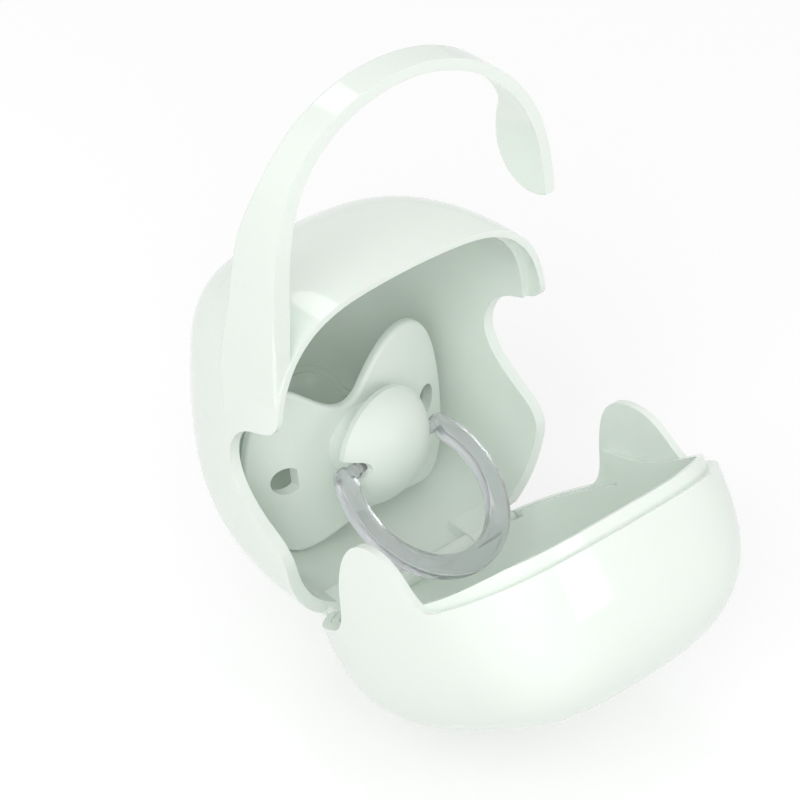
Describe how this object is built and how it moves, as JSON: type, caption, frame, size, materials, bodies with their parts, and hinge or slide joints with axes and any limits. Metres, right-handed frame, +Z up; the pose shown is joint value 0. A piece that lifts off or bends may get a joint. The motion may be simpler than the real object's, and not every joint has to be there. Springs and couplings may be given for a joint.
{
  "type": "pacifier case",
  "caption": "Rounded pacifier case with a hinged lid whose side ears close into notches, a broad open hook loop, and a pacifier with a swinging ring inside.",
  "frame": {"origin": "on the flat foot of the case, in the middle of its width, 7 mm behind the rim", "axes": "+Z up, the opening faces -Y and the lid swings down towards -Y, the hook grows out of the -X wall"},
  "size_m": [0.0735, 0.1191, 0.1302],
  "materials": {
    "case_plastic": "glossy pale mint white",
    "shield_plastic": "satin grey mint",
    "ring_plastic": "clear smoky grey",
    "nipple_silicone": "soft translucent",
    "pin_steel": "plain"
  },
  "bodies": {
    "case": {"body_shell": "case_plastic", "hinge_pin": "pin_steel"},
    "lid": {"lid_shell": "case_plastic"},
    "pacifier": {"pacifier_shield": "shield_plastic", "pacifier_knob": "shield_plastic", "pacifier_plug": "shield_plastic", "pacifier_nipple": "nipple_silicone"},
    "ring": {"pacifier_ring": "ring_plastic"}
  },
  "joints": [
    {"name": "lid_hinge", "type": "hinge", "parent": "case", "child": "lid", "pos_m": [0, -0.0095, 0.002], "axis": [1, 0, 0], "range_deg": [-54.5, 30]},
    {"name": "pacifier_lift", "type": "slide", "parent": "case", "child": "pacifier", "axis": [0, -0.9063, 0.4226], "range_m": [0, 0.003]},
    {"name": "ring_swing", "type": "hinge", "parent": "pacifier", "child": "ring", "pos_m": [-0.0004, 0.0002, 0.0267], "axis": [0.9826, 0.1476, -0.1129], "range_deg": [-60, 6]}
  ]
}
